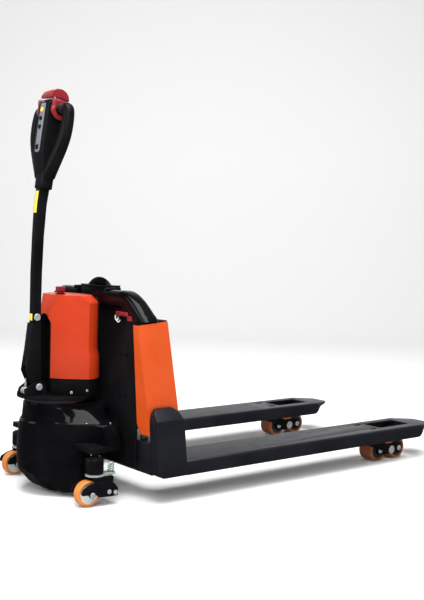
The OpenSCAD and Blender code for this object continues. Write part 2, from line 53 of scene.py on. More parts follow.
def span(node):
    """The low and high corner of a CAD node's box, in millimetres."""
    low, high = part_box(node)
    return low / MM, high / MM


TIP = span("fork_left")[1].x
HEEL = span("fork_heel")[1].x
STEER = sum(v.x for v in span("slew_ring")) / 2
MAST = span("battery_box")[0].x - 6
FORK_TOP = span("fork_left")[1].z
FORK_LOW = span("fork_left")[0].z
FORK_Y = sum(v.y for v in span("fork_left")) / 2
HALF = span("fork_left")[1].y - FORK_Y
PANEL_Y = span("side_panel_left")[1].y
HUMP_Y = span("fork_heel")[1].y
HEAD_TOP = span("head_cover")[1].z
HEAD_LOW = span("head_cover")[0].z
COVER_R = STEER - span("drive_cover")[0].x
BOGIE = sum(v.x for v in span("bogie_left")) / 2
ROLLER_R = span("roller_left_rear")[1].z / 2
ROLLER_HALF = BOGIE - sum(v.x for v in span("roller_left_rear")) / 2
CASTER_Y = sum(v.y for v in span("caster_wheel_left")) / 2
CASTER_X = sum(v.x for v in span("caster_wheel_left")) / 2
CASTER_R = span("caster_wheel_left")[1].z / 2
# the handle is drawn in its own frame, which stands on the arm and leans back
LEAN = radians(8)
HANDLE = Matrix.Translation((STEER - 55, 0, 900)) @ Matrix.Rotation(LEAN, 4, "Y")
GRIP_Z = 232


# ---------- mesh helpers ----------

def new_object(name, points, faces, place=STILL):
    """A mesh object from points in millimetres."""
    mesh = bpy.data.meshes.new(name)
    mesh.from_pydata([(place @ Vector(p)) * MM for p in points], [], faces)
    made = bpy.data.objects.new(name, mesh)
    bpy.context.collection.objects.link(made)
    work = bmesh.new()
    work.from_mesh(mesh)
    bmesh.ops.remove_doubles(work, verts=work.verts, dist=1e-6)
    bmesh.ops.recalc_face_normals(work, faces=work.faces)
    work.to_mesh(mesh)
    work.free()
    return made


def fillet(points, radius, steps=6):
    """Rounds the corners of a closed outline; radius is one number or one per corner."""
    out = []
    count = len(points)
    for i, here in enumerate(points):
        r = radius[i] if isinstance(radius, (list, tuple)) else radius
        here = Vector(here)
        to_a = Vector(points[i - 1]) - here
        to_b = Vector(points[(i + 1) % count]) - here
        half = to_a.angle(to_b) / 2
        if r <= 0 or half > radians(88):
            out.append(tuple(here))
            continue
        reach = min(r / tan(half), to_a.length * 0.48, to_b.length * 0.48)
        r = reach * tan(half)
        centre = here + (to_a.normalized() + to_b.normalized()).normalized() * r / sin(half)
        start = here + to_a.normalized() * reach - centre
        end = here + to_b.normalized() * reach - centre
        for k in range(steps + 1):
            mix = start.lerp(end, k / steps)
            if mix.length > 1e-9:
                out.append(tuple(centre + mix.normalized() * r))
    return out


def prism(name, outline, axis, low, high, place=STILL):
    """An outline given a thickness along one axis."""
    def at(p, h):
        return {"x": (h, p[0], p[1]), "y": (p[0], h, p[1]), "z": (p[0], p[1], h)}[axis]
    count = len(outline)
    points = [at(p, low) for p in outline] + [at(p, high) for p in outline]
    faces = [list(range(count))[::-1], list(range(count, 2 * count))]
    faces += [[i, (i + 1) % count, (i + 1) % count + count, i + count] for i in range(count)]
    return new_object(name, points, faces, place)


def rectangle(x0, x1, y0, y1):
    """The corners of a rectangle, in order round it."""
    return [(x0, y0), (x1, y0), (x1, y1), (x0, y1)]


def brick(name, low, high, place=STILL):
    """A block between two corners."""
    return prism(name, rectangle(low[0], high[0], low[1], high[1]), "z", low[2], high[2], place)


def skin(name, rings, wrap=False, place=STILL):
    """A surface through rings that all have the same number of points."""
    count = len(rings[0])
    points = [p for ring in rings for p in ring]
    faces = []
    last = len(rings) if wrap else len(rings) - 1
    for r in range(last):
        a, b = r * count, (r + 1) % len(rings) * count
        faces += [[a + i, a + (i + 1) % count, b + (i + 1) % count, b + i] for i in range(count)]
    if not wrap:
        faces += [list(range(count))[::-1], list(range(len(points) - count, len(points)))]
    return new_object(name, points, faces, place)


def lathe(name, profile, centre, axis, steps, place=STILL):
    """A closed profile of (radius, height) turned about an axis through centre."""
    turn = {"z": STILL, "y": Matrix.Rotation(-pi / 2, 4, "X"),
            "x": Matrix.Rotation(pi / 2, 4, "Y")}[axis]
    place = place @ Matrix.Translation(centre) @ turn
    rings = []
    for k in range(steps):
        a = tau * k / steps
        rings.append([(r * cos(a), r * sin(a), h) for r, h in profile])
    return skin(name, rings, wrap=True, place=place)


def smooth_path(points, steps):
    """A smooth line through the points; extra numbers after x, y, z are carried along."""
    pts = [Vector(p) for p in points]
    pts = [pts[0] * 2 - pts[1]] + pts + [pts[-1] * 2 - pts[-2]]
    out = []
    for i in range(1, len(pts) - 2):
        for k in range(steps):
            t = k / steps
            a, b, c, d = pts[i - 1:i + 3]
            out.append(0.5 * (2 * b + (c - a) * t + (2 * a - 5 * b + 4 * c - d) * t * t
                              + (3 * b - a - 3 * c + d) * t ** 3))
    return out + [pts[-2]]


def sweep(name, path, section, up, place=STILL):
    """Carries a section along a path; section(i, count) gives points along (up, side)."""
    path = [Vector(p) for p in path]
    rings = []
    for i, here in enumerate(path):
        ahead = (path[min(i + 1, len(path) - 1)] - path[max(i - 1, 0)]).normalized()
        side = ahead.cross(Vector(up)).normalized()
        over = side.cross(ahead).normalized()
        rings.append([here + over * u + side * v for u, v in section(i, len(path))])
    return skin(name, rings, place=place)


def oval(u, v, power, steps):
    """Points of a rounded section, u and v half sizes."""
    out = []
    for k in range(steps):
        a = tau * k / steps
        c, s = cos(a), sin(a)
        out.append((u * copysign(abs(c) ** (2 / power), c), v * copysign(abs(s) ** (2 / power), s)))
    return out


def circle(x, y, r, steps):
    """The points of a full circle."""
    turns = [tau * k / steps for k in range(steps)]
    return [(x + r * cos(a), y + r * sin(a)) for a in turns]


def rod(name, r, low, high, at, axis, steps):
    """A plain round bar from low to high along an axis through a place."""
    return lathe(name, [(CORE, low), (r, low), (r, high), (CORE, high)], at, axis, steps)


def both_ways(profile):
    """A turned profile closed by its own mirror image at negative heights."""
    return profile + [(r, -h) for r, h in reversed(profile)]


def band_round(circles):
    """The outline of a band stretched round circles given as (x, y, r)."""
    out, steps = [], 96
    for k in range(steps):
        c, sn = cos(tau * k / steps), sin(tau * k / steps)
        x, y, r = max(circles, key=lambda o: o[0] * c + o[1] * sn + o[2])
        out.append((x + r * c, y + r * sn))
    return out


def reach_round(circles, steps):
    """Distance from the middle to the same band, at equal steps of angle."""
    marks = [tau * k / 360 for k in range(360)]
    support = [max(x * cos(a) + y * sin(a) + r for x, y, r in circles) for a in marks]
    return [min(h / cos(a - tau * k / steps) for a, h in zip(marks, support)
                if cos(a - tau * k / steps) > 0.2) for k in range(steps)]


def apply_modifiers(made):
    """Turns the modifiers of a piece into mesh."""
    shape = made.evaluated_get(bpy.context.evaluated_depsgraph_get())
    mesh = bpy.data.meshes.new_from_object(shape)
    made.modifiers.clear()
    made.data = mesh
    return made


def combine(made, tools, operation):
    """Joins tools to a piece or cuts them from it, one by one, and removes them."""
    for tool in tools:
        step = made.modifiers.new("step", "BOOLEAN")
        step.operation, step.object, step.solver = operation, tool, "EXACT"
        apply_modifiers(made)
        bpy.data.objects.remove(tool)
    return made


def cut(made, *tools):
    return combine(made, tools, "DIFFERENCE")


def fuse(made, *tools):
    return combine(made, tools, "UNION")


def clean(made):
    """Merges double points and flattens faces that lie in one plane."""
    work = bmesh.new()
    work.from_mesh(made.data)
    bmesh.ops.remove_doubles(work, verts=work.verts, dist=5e-6)
    bmesh.ops.dissolve_limit(work, angle_limit=radians(0.5), verts=work.verts, edges=work.edges)
    work.to_mesh(made.data)
    work.free()
    return made


def shade(made, angle=32):
    """Smooth shading, with edges sharper than the angle left sharp."""
    made.data.shade_smooth()
    made.data.set_sharp_from_angle(angle=radians(angle))
    return made


def bevel(made, width, segments, angle=30):
    """Rounds the edges that are sharper than the angle."""
    step = made.modifiers.new("edges", "BEVEL")
    step.width, step.segments = width * MM, segments
    step.limit_method, step.angle_limit = "ANGLE", radians(angle)
    step.miter_outer = "MITER_ARC"
    apply_modifiers(made)
    return shade(made)


def join(name, parts):
    """One piece made of several, which are removed."""
    work = bmesh.new()
    for part in parts:
        work.from_mesh(part.data)
    mesh = bpy.data.meshes.new(name)
    work.to_mesh(mesh)
    work.free()
    for part in parts:
        bpy.data.objects.remove(part)
    made = bpy.data.objects.new(name, mesh)
    bpy.context.collection.objects.link(made)
    return shade(made)


def mirrored(made, name):
    """A copy on the other side of the middle plane."""
    twin = bpy.data.objects.new(name, made.data.copy())
    bpy.context.collection.objects.link(twin)
    twin.data.transform(Matrix.Scale(-1, 4, (0, 1, 0)))
    twin.data.flip_normals()
    return twin


def wear(made, body, look, nodes=()):
    """Gives a piece its material and its body, and hides the CAD nodes that it stands for."""
    made.data.materials.clear()
    made.data.materials.append(LOOKS[look])
    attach(made, body)
    if nodes:
        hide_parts(*([nodes] if isinstance(nodes, str) else nodes))
    return made


def softened(node, body, look, width, segments):
    """A CAD node with rounded edges."""
    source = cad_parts[node].data
    made = new_object(node + "_soft", [v.co / MM for v in source.vertices],
                      [list(f.vertices) for f in source.polygons])
    clean(made)
    bevel(made, width, segments)
    return wear(made, body, look, node)


# ---------- materials ----------

LOOKS = {}


def look(name, colour, rough, grain, bump, metal=0.0, shade_by=0.12, spread=0.12,
         worn=None, wear_at=0.12, coat=0.0, brushed=None, streak=0.0, gleam=0.5):
    """A procedural surface: uneven colour, uneven roughness, a fine bump and worn edges."""
    made = bpy.data.materials.new(name)
    made.use_nodes = True
    made.diffuse_color = (*colour, 1)
    tree = made.node_tree
    link = tree.links.new
    surface = tree.nodes["Principled BSDF"]
    surface.inputs["Base Color"].default_value = (*colour, 1)
    surface.inputs["Roughness"].default_value = rough
    surface.inputs["Metallic"].default_value = metal
    surface.inputs["Coat Weight"].default_value = coat
    surface.inputs["Specular IOR Level"].default_value = gleam
    surface.inputs["Coat Roughness"].default_value = 0.12
    place = tree.nodes.new("ShaderNodeTexCoord").outputs["Object"]
    if brushed:
        stretch = tree.nodes.new("ShaderNodeMapping")
        stretch.inputs["Scale"].default_value = brushed
        link(place, stretch.inputs["Vector"])
        place_fine = stretch.outputs["Vector"]
    else:
        place_fine = place

    def noise(scale, detail, vector):
        made_noise = tree.nodes.new("ShaderNodeTexNoise")
        made_noise.inputs["Scale"].default_value = scale
        made_noise.inputs["Detail"].default_value = detail
        link(vector, made_noise.inputs["Vector"])
        return made_noise.outputs["Fac"]

    def mapped(value, low, high, out_low, out_high):
        made_range = tree.nodes.new("ShaderNodeMapRange")
        for key, number in zip(("From Min", "From Max", "To Min", "To Max"), (low, high, out_low, out_high)):
            made_range.inputs[key].default_value = number
        link(value, made_range.inputs["Value"])
        return made_range.outputs["Result"]

    def mixed(factor, a, b):
        made_mix = tree.nodes.new("ShaderNodeMix")
        made_mix.data_type = "RGBA"
        link(factor, made_mix.inputs["Factor"])
        for key, value in (("A", a), ("B", b)):
            socket = [s for s in made_mix.inputs if s.name == key and s.type == "RGBA"][0]
            if isinstance(value, tuple):
                socket.default_value = (*value, 1)
            else:
                link(value, socket)
        return [s for s in made_mix.outputs if s.type == "RGBA"][0]

    broad = noise(9.0, 4.0, place)
    fine = noise(grain, 3.0, place_fine)
    dark = tuple(c * (1 - shade_by) for c in colour)
    light = tuple(min(c * (1 + shade_by) + 0.004, 1) for c in colour)
    tint = mixed(mapped(broad, 0.3, 0.7, 0.0, 1.0), dark, light)
    if worn:
        soft_edge = tree.nodes.new("ShaderNodeBevel")
        soft_edge.samples = 4
        soft_edge.inputs["Radius"].default_value = 0.0012
        flat = tree.nodes.new("ShaderNodeNewGeometry")
        meet = tree.nodes.new("ShaderNodeVectorMath")
        meet.operation = "DOT_PRODUCT"
        link(soft_edge.outputs["Normal"], meet.inputs[0])
        link(flat.outputs["Normal"], meet.inputs[1])
        edge = mapped(meet.outputs["Value"], 0.995, 0.93, 0.0, 1.0)
        patch = mapped(noise(60.0, 5.0, place), 0.62 - wear_at, 0.72 - wear_at, 0.0, 1.0)
        both = tree.nodes.new("ShaderNodeMath")
        both.operation = "MULTIPLY"
        link(edge, both.inputs[0])
        link(patch, both.inputs[1])
        tint = mixed(both.outputs["Value"], tint, worn)
    if streak:
        specks = mapped(noise(140.0, 6.0, place), 0.66, 0.8, 0.0, streak)
        tint = mixed(specks, tint, tuple(min(c * 1.8 + 0.03, 1) for c in colour))
    link(tint, surface.inputs["Base Color"])
    link(mapped(noise(35.0, 5.0, place), 0.3, 0.7, max(rough - spread, 0.03), rough + spread),
         surface.inputs["Roughness"])
    lift = tree.nodes.new("ShaderNodeBump")
    lift.inputs["Strength"].default_value = bump
    lift.inputs["Distance"].default_value = 0.0004
    link(fine, lift.inputs["Height"])
    link(lift.outputs["Normal"], surface.inputs["Normal"])
    LOOKS[name] = made
    return made


def make_looks():
    look("black_paint", (0.003, 0.003, 0.004), 0.40, grain=1500, bump=0.15,
         worn=(0.03, 0.03, 0.034), streak=0.02, gleam=0.07)
    look("fork_paint", (0.006, 0.0066, 0.010), 0.38, grain=1100, bump=0.12, shade_by=0.05, spread=0.04,
         worn=(0.05, 0.05, 0.056), gleam=0.24)
    look("gloss_cover", (0.0014, 0.0014, 0.0022), 0.14, grain=260, bump=0.04, coat=0.05,
         spread=0.04, gleam=0.08)
    look("orange_paint", (0.56, 0.068, 0.007), 0.34, grain=700, bump=0.10, coat=0.08, gleam=0.24,
         shade_by=0.06, worn=(0.60, 0.085, 0.02), wear_at=0.02)
    look("orange_cover", (0.46, 0.033, 0.005), 0.38, grain=900, bump=0.16, coat=0.06, gleam=0.22,
         shade_by=0.06)
    look("grey_steel", (0.10, 0.10, 0.105), 0.42, metal=0.8, grain=500, bump=0.2, worn=(0.3, 0.3, 0.3))
    look("bright_steel", (0.50, 0.51, 0.53), 0.28, metal=0.45, grain=600, bump=0.12, brushed=(1, 1, 8))
    look("cast_iron", (0.035, 0.036, 0.038), 0.55, metal=0.5, grain=420, bump=0.5, shade_by=0.25)
    look("aluminium", (0.46, 0.47, 0.49), 0.36, metal=0.5, grain=800, bump=0.15, brushed=(8, 1, 1))
    look("black_plastic", (0.003, 0.003, 0.0038), 0.38, grain=1600, bump=0.2, spread=0.08, gleam=0.08)
    look("grey_plastic", (0.16, 0.17, 0.19), 0.42, grain=1300, bump=0.2)
    look("grip_rubber", (0.012, 0.012, 0.015), 0.5, grain=1900, bump=0.4, gleam=0.2)
    look("tyre_rubber", (0.007, 0.007, 0.008), 0.6, grain=900, bump=0.4, gleam=0.2)
    look("red_plastic", (0.22, 0.009, 0.015), 0.35, grain=1200, bump=0.15, coat=0.08)
    look("yellow_plastic", (0.75, 0.62, 0.05), 0.45, grain=900, bump=0.1)
    look("wheel_rubber", (0.30, 0.085, 0.022), 0.40, grain=700, bump=0.3, shade_by=0.2, streak=0.08)
    look("caster_rubber", (0.62, 0.20, 0.035), 0.38, grain=700, bump=0.25, shade_by=0.15, streak=0.06)
    look("spring_steel", (0.38, 0.62, 0.36), 0.35, metal=0.35, grain=500, bump=0.15)
    look("white_plastic", (0.60, 0.61, 0.60), 0.45, grain=900, bump=0.15)


make_looks()


# ---------- fasteners ----------

def round_bolt(name, at, axis, r, tall, place=STILL):
    """A domed bolt head with a round socket, pointing along +axis or -axis by the sign of tall."""
    s = 1 if tall > 0 else -1
    t = abs(tall)
    profile = [(CORE, 0), (r, 0), (r, s * t * 0.45), (r * 0.94, s * t * 0.72), (r * 0.76, s * t * 0.93),
               (r * 0.5, s * t), (r * 0.44, s * t * 0.96), (r * 0.42, s * t * 0.35), (CORE, s * t * 0.3)]
    return shade(lathe(name, profile, at, axis, 36, place), 25)


def hex_bolt(name, at, axis, r, tall, sides=6, turned=0.3):
    """A bolt head with flats on a washer, pointing like a round bolt."""
    s = 1 if tall > 0 else -1
    corners = [(r * cos(tau * k / sides + turned), r * sin(tau * k / sides + turned))
               for k in range(sides)]
    turn = {"z": STILL, "y": Matrix.Rotation(-pi / 2, 4, "X"),
            "x": Matrix.Rotation(pi / 2, 4, "Y")}[axis]
    place = Matrix.Translation(at) @ turn
    washer = s * 1.2
    head = prism(name, corners, "z", *sorted((washer, tall)), place)
    bevel(head, r * 0.1, 2)
    disc = rod(name + "_washer", r * 1.25, 0, washer, at, axis, 36)
    return join(name, [head, disc])


# ---------- forks and heel ----------

def fork_section(half, low, wall, top):
    """Channel section that is open below."""
    r_out, r_in = 9.0, 4.0
    outer = fillet([(half, low), (half, top), (-half, top), (-half, low)], [0, r_out, r_out, 0])
    inside, under = half - wall, top - wall
    inner = fillet([(-inside, low), (-inside, under), (inside, under), (inside, low)],
                   [0, r_in, r_in, 0])
    return outer + inner


def make_fork():
    """The left fork: an open channel, a tapered nose, a window and two slots."""
    wall = 5
    start, end, parts = HEEL - 1, TIP - 110, 12
    section = fork_section(HALF, FORK_LOW, wall, FORK_TOP)
    rings = []
    for k in range(parts + 1):
        x = start + k * (end - start) / parts
        rings.append([(x, y + FORK_Y, z) for y, z in section])
    channel = skin("channel", rings)
    # stations of the nose: place, half width, rise of the underside, drop of the top
    nose_rings = []
    outline = [(TIP - 112, HALF, 0, 0), (TIP - 100, HALF, 0, 0), (TIP - 88, HALF - 2, 7.5, 0.2),
               (TIP - 76, HALF - 8, 16, 0.8), (TIP - 62, HALF - 14.5, 25, 1.7),
               (TIP - 46, HALF - 21, 27.5, 2.8), (TIP - 30, HALF - 28, 29, 3.8),
               (TIP - 16, HALF - 36.5, 30, 4.4), (TIP - 6, HALF - 45.5, 31, 5),
               (TIP - 2, HALF - 54, 32.5, 6), (TIP, HALF - 62, 34.5, 8)]
    for x, half, rise, drop in outline:
        low, top = FORK_LOW + rise, FORK_TOP - drop
        r = min(9.0, (top - low) * 0.42, half * 0.5)
        ring = fillet([(half, low), (half, top), (-half, top), (-half, low)],
                      [min(3.0, r), r, r, min(3.0, r)])
        nose_rings.append([(x, y + FORK_Y, z) for y, z in ring])
    nose = skin("nose", nose_rings)
    made = fuse(channel, nose)
    window_half, slot_y, slot_half = 41, 38, 6
    window = rectangle(HEEL + 878, HEEL + 1030, FORK_Y - window_half, FORK_Y + window_half)
    tools = [prism("w", fillet(window, 9), "z", FORK_LOW - 9, FORK_TOP + 9)]
    for s in (-1, 1):
        middle = FORK_Y + s * slot_y
        slot = rectangle(HEEL + 830, HEEL + 862, middle - slot_half, middle + slot_half)
        tools.append(prism("s", fillet(slot, 5.9), "z", FORK_TOP - 20, FORK_TOP + 9))
    cut(made, *tools)
    clean(made)
    bevel(made, 1.2, 2, 40)
    made.name = "fork_left_shell"
    return made


def make_forks():
    """Both forks and the pins of the load rockers."""
    left = make_fork()
    right = mirrored(left, "fork_right_shell")
    wear(left, "carriage", "fork_paint", "fork_left")
    wear(right, "carriage", "fork_paint", "fork_right")
    rocker_reach, rocker_z = 180, FORK_TOP - 22
    rocker_x = BOGIE - sqrt(rocker_reach ** 2 - (rocker_z - ROLLER_R) ** 2)
    for s, side in SIDES:
        pin = rod("rocker_pin_" + side, 10, -76, 76, (rocker_x, s * FORK_Y, rocker_z), "y", 40)
        wear(shade(pin), "carriage", "bright_steel")


def make_hump(s, side):
    """Rounded cheek beside the side panel; its top slopes up towards the panel."""
    inner = PANEL_Y + 2
    outline = [(HEEL - 82, FORK_LOW), (HEEL - 96, 86), (HEEL - 102, 100), (HEEL - 108, 236),
               (HEEL - 105, 262), (HEEL - 94, 276), (HEEL - 36, 276), (HEEL - 19, 266),
               (HEEL - 12, 238), (HEEL, FORK_TOP), (HEEL, FORK_LOW)]
    rounded = fillet(outline, [4, 10, 14, 24, 12, 10, 14, 16, 40, 2, 2], 6)
    hump = prism("hump_" + side, rounded, "y", *sorted((s * inner, s * HUMP_Y)))
    tilt = Matrix.Translation((0, s * HUMP_Y, 243)) @ Matrix.Rotation(-s * radians(45), 4, "X")
    low, high = sorted((s * 8, s * -120))
    cut(hump, brick("t", (HEEL - 300, low, 0), (HEEL + 100, high, 90), tilt))
    clean(hump)
    bevel(hump, 6.5, 5, 35)
    wear(hump, "carriage", "fork_paint")
    profile = [(CORE, 0), (13, 0), (13, s * 1.0), (11.5, s * 1.9), (6, s * 2.0), (CORE, s * 2.0)]
    boss = lathe("heel_boss_" + side, profile, (HEEL - 46, s * (HUMP_Y - 2.4), 118), "y", 48)
    wear(shade(boss, 25), "carriage", "fork_paint")


def make_heel():
    """The beam that joins the forks, open below with ribs, and its two humps."""
    inner, back, wall, thick = PANEL_Y + 2, HEEL - 96, 6, 12
    beam = brick("heel_beam", (back, -inner, 80), (HEEL, inner, 172))
    cut(beam, brick("t", (back + wall, thick - inner, 70), (HEEL - wall, inner - thick, 172 - wall)))
    bevel(beam, 3.0, 3, 40)
    ribs = []
    for s in (-1, 1):
        for y in (60, 240):
            low, high = sorted((s * y, s * (y + thick)))
            rib = brick("rib", (back + wall - 1, low, 100), (HEEL - wall + 1, high, 167))
            cut(rib, rod("t", 14.1, -400, 400, (HEEL - 50, 0, 125), "y", 48))
            ribs.append(bevel(rib, 0.8, 2, 40))
    wear(join("heel_beam_shell", [beam] + ribs), "carriage", "fork_paint", "fork_heel")
    make_hump(1, "left")
    make_hump(-1, "right")


make_forks()
make_heel()


# ---------- tandem rollers ----------

def make_rollers():
    wide, r = 29, ROLLER_R
    for s, side in SIDES:
        for k, place_name in ((-1, "rear"), (1, "front")):
            at = (BOGIE + k * ROLLER_HALF, s * FORK_Y, ROLLER_R)
            name = f"roller_{side}_{place_name}"
            body = "load_" + name
            tread = both_ways([(r - 9, 1 - wide), (r - 4, -wide), (r - 1.2, 1.5 - wide), (r, 5 - wide)])
            wear(shade(lathe(name + "_tread", tread, at, "y", 72)), body, "wheel_rubber", name)
            core = both_ways([(8.2, 2 - wide), (15, 2 - wide), (16, 4 - wide), (23, 4 - wide),
                              (24, 1.5 - wide), (r - 9, 1.5 - wide)])
            wear(shade(lathe(name + "_core", core, at, "y", 72), 20), body, "grey_steel")


def make_bogies():
    for s, side in SIDES:
        softened("bogie_" + side, "load_bogie_" + side, "black_paint", 1.2, 3)
        softened("rocker_" + side, "load_rocker_" + side, "black_paint", 1.2, 3)
        heads = []
        for k in (-1, 1):
            for face in (-1, 1):
                at = (BOGIE + k * ROLLER_HALF, s * FORK_Y + face * 38, ROLLER_R)
                heads.append(round_bolt("b", at, "y", 9.5, face * 3.2))
        wear(join("roller_bolts_" + side, heads), "load_bogie_" + side, "bright_steel")
        heads = []
        for face in (-1, 1):
            at = (BOGIE, s * FORK_Y + face * 46, ROLLER_R)
            heads.append(hex_bolt("h", at, "y", 11.5, face * 5.0, 4, 0.1))
        wear(join("bogie_bolts_" + side, heads), "load_rocker_" + side, "bright_steel")


make_rollers()
make_bogies()


# ---------- casters ----------

def make_caster(s, side):
    """One sprung caster: housing, swivel, spring, trailing arm and wheel."""
    y = s * CASTER_Y
    r = CASTER_R
    pivot = (STEER + 32, 40)
    tie = STEER + 55
    housing = [(12.2, 93), (24.5, 93), (26.5, 95), (26.5, 131), (24.8, 134.6), (21, 136.6), (17, 137),
               (16.5, 138.4), (9, 138.4), (8, 139.5), (8, 149.5), (CORE, 149.5), (CORE, 128), (12.2, 128)]
    shell = shade(lathe("caster_housing_" + side, housing, (STEER, y, 0), "z", 72), 25)
    wear(shell, "chassis", "black_paint", "caster_mounts")
    cap = round_bolt("caster_cap_" + side, (STEER + 17, y - s * 3, 136.4), "z", 5.5, 3.6)
    wear(cap, "chassis", "bright_steel")
    plate = prism("caster_plate_" + side, band_round([(STEER, y, 26), (tie, y, 13)]), "z", 84, 90)
    bevel(plate, 1.0, 2, 40)
    profile = [(CORE, 88), (11.9, 88), (11.9, 127), (11, 128), (CORE, 128)]
    stem = lathe("stem", profile, (STEER, y, 0), "z", 48)
    profile = [(CORE, 50), (3.4, 50), (3.4, 114), (8.4, 114), (9, 114.8), (9, 116.8),
               (7.6, 118), (CORE, 118)]
    bolt = lathe("tie", profile, (tie, y, 0), "z", 40)
    swivel = join("caster_swivel_plate_" + side, [plate, stem, bolt])
    wear(swivel, "swivel_" + side, "bright_steel", "caster_swivel_" + side)
    cheeks = []
    cheek = [(STEER - 18, 84), (STEER + 50, 84), (pivot[0] + 14, 34), (pivot[0] - 10, 32), (STEER - 18, 78)]
    for face in (-1, 1):
        low, high = sorted((y + face * 20, y + face * 25))
        cheeks.append(prism("c", fillet(cheek, [1, 4, 9, 9, 4], 4), "y", low, high))
    wear(join("caster_cheeks_" + side, [bevel(c, 0.8, 2) for c in cheeks]), "swivel_" + side, "black_paint")
    # coil of the caster spring
    path = []
    turns, coil_r, low, high = 3.2, 8.2, 92.0, 112.0
    for k in range(97):
        t = k / 96
        a = tau * turns * t
        path.append((tie + coil_r * cos(a), y + coil_r * sin(a), low + (high - low) * t))
    coil = sweep("caster_spring_coil_" + side, path, lambda i, n: oval(1.75, 1.75, 2, 12), (0, 0, 1))
    wear(shade(coil, 60), "swivel_" + side, "spring_steel", "caster_spring_" + side)
    # side plates with a curved top and an arch over the hub
    plates, plate_y = [], 31
    x = CASTER_X
    outline = [(x - 34, r + 3), (x - 36, r + 10), (x - 30, r + 20), (x - 12, r + 30), (STEER - 8, 74),
               (STEER + 12, 76), (tie - 10, 66), (tie + 6, 50), (tie + 6, 26), (tie - 20, 26),
               (x + 22, r - 9), (x + 12, r + 1), (x + 8, r - 6), (x, r - 10), (x - 8, r - 6), (x - 12, r + 1)]
    for face in (-1, 1):
        low, high = sorted((y + face * 26, y + face * plate_y))
        plates.append(prism("p", fillet(outline, 3.0, 3), "y", low, high))
    plates.append(brick("p", (tie - 6, y - plate_y, 30), (tie + 6, y + plate_y, 40)))
    for part in plates:
        bevel(part, 0.8, 2)
    wear(join("caster_arm_shell_" + side, plates), "trail_arm_" + side, "black_paint", "caster_arm_" + side)
    heads = []
    for face in (-1, 1):
        heads.append(round_bolt("a", (CASTER_X, y + face * plate_y, r), "y", 8, face * 3))
        heads.append(hex_bolt("a", (tie - 2, y + face * plate_y, 36), "y", 5.6, face * 4))
    wear(join("caster_arm_bolts_" + side, heads), "trail_arm_" + side, "bright_steel")
    axles = [rod("a", 5.9, -plate_y, plate_y, (x, y, z), "y", 40) for x, z in (pivot, (CASTER_X, r))]
    heads = [round_bolt("a", (pivot[0], y + face * plate_y, pivot[1]), "y", 6.5, face * 2.0)
             for face in (-1, 1)]
    wear(join("caster_axles_" + side, axles + heads), "trail_arm_" + side, "bright_steel")
    tread = both_ways([(r - 8, -13), (r - 3, -14.6), (r - 0.8, -12.5), (r, -7)])
    wheel, at = "small_wheel_" + side, (CASTER_X, y, r)
    tyre = shade(lathe("caster_tread_" + side, tread, at, "y", 72))
    wear(tyre, wheel, "caster_rubber", "caster_wheel_" + side)
    hub = both_ways([(6.1, -14.5), (12, -14.5), (13, -12), (22, -9.5), (r - 9, -11), (r - 8, -13)])
    wear(shade(lathe("caster_hub_" + side, hub, at, "y", 72), 20), wheel, "white_plastic")


for sign, hand in SIDES:
    make_caster(sign, hand)


# ---------- drive cover ----------

def step_between(x, low, high):
    """Rises smoothly from 0 at low to 1 at high."""
    t = min(max((x - low) / (high - low), 0), 1)
    return t * t * (3 - 2 * t)


STEPS = 144
SHOULDER, SHOULDER_Z = 0.89, 216
DECK_R, DECK_Z = 98, 262
POCKET_R, POCKET_TOP = 72, 143
COVER_REACH = reach_round([(0, 0, COVER_R), (78, 160, 50), (78, -160, 50)], STEPS)
DECK_REACH = reach_round([(0, 0, DECK_R), (118, 88, 10), (118, -88, 10)], STEPS)


def around(reach, k):
    """A point at a distance from the steering axis, k steps round from +X."""
    return STEER + reach * cos(tau * k / STEPS), reach * sin(tau * k / STEPS)


def dome(k, t, wall=0.0):
    """A point on the sloping top of the cover, t from the shoulder to the deck."""
    turn = tau * k / STEPS
    # degrees from straight behind; two valleys and a deep pocket on each side make the petals
    behind = abs(degrees(atan2(sin(turn), -cos(turn))))
    valley = 9.0 * exp(-((behind - 34) / 11) ** 2) + 6.0 * exp(-((behind - 88) / 12) ** 2)
    pocket = 8.0 * exp(-((behind - 64) / 7) ** 2)
    low = valley * sin(pi * min(t, 1)) ** 1.2 + pocket * exp(-((t - 0.22) / 0.14) ** 2)
    whole = int(k) % STEPS
    outer = (COVER_REACH[whole] - wall) * SHOULDER
    reach = outer + (DECK_REACH[whole] - wall - outer) * t ** 0.85
    z = SHOULDER_Z + (DECK_Z - SHOULDER_Z) * (1 - (1 - t) ** 1.35) - low - wall
    return (*around(reach, k), z)


def cover_volume(wall):
    """The whole cover, or with a wall the hollow inside it, with a pocket round each caster."""
    foot = 14
    profile = [(0.85, foot), (0.885, 24), (0.922, 40), (0.952, 60), (0.98, 84), (0.996, 110), (0.995, 130),
               (0.985, 150), (0.97, 172), (0.955, 192), (0.945, 204), (0.938, 211), (0.930, 215.5),
               (0.918, 217.5), (0.905, 217.2), (0.895, 216.4)]
    rings = []
    for scale, z in profile:
        # the hollow starts below the foot and ends a wall below the shoulder
        drop = 0 if not wall else 2 if z == foot else wall * step_between(z, 190, 217)
        rings.append([(*around((COVER_REACH[k] - wall) * scale, k), z - drop) for k in range(STEPS)])
    for j in range(1, 19):
        rings.append([dome(k, j / 18, wall) for k in range(STEPS)])
    if wall:
        top = [([92.6] * STEPS, 265.5), ([92.6] * STEPS, 282)]
    else:
        top = [([d - inset for d in DECK_REACH], z) for inset, z in ((0, 266), (1, 269), (3, 270))]
    for reach, z in top:
        rings.append([(*around(reach[k], k), z) for k in range(STEPS)])
    made = skin("drive_cover_shell", rings)
    for s in (-1, 1):
        cut(made, prism("t", circle(STEER, s * CASTER_Y, POCKET_R + wall, 64), "z", -5, POCKET_TOP + wall))
    return made


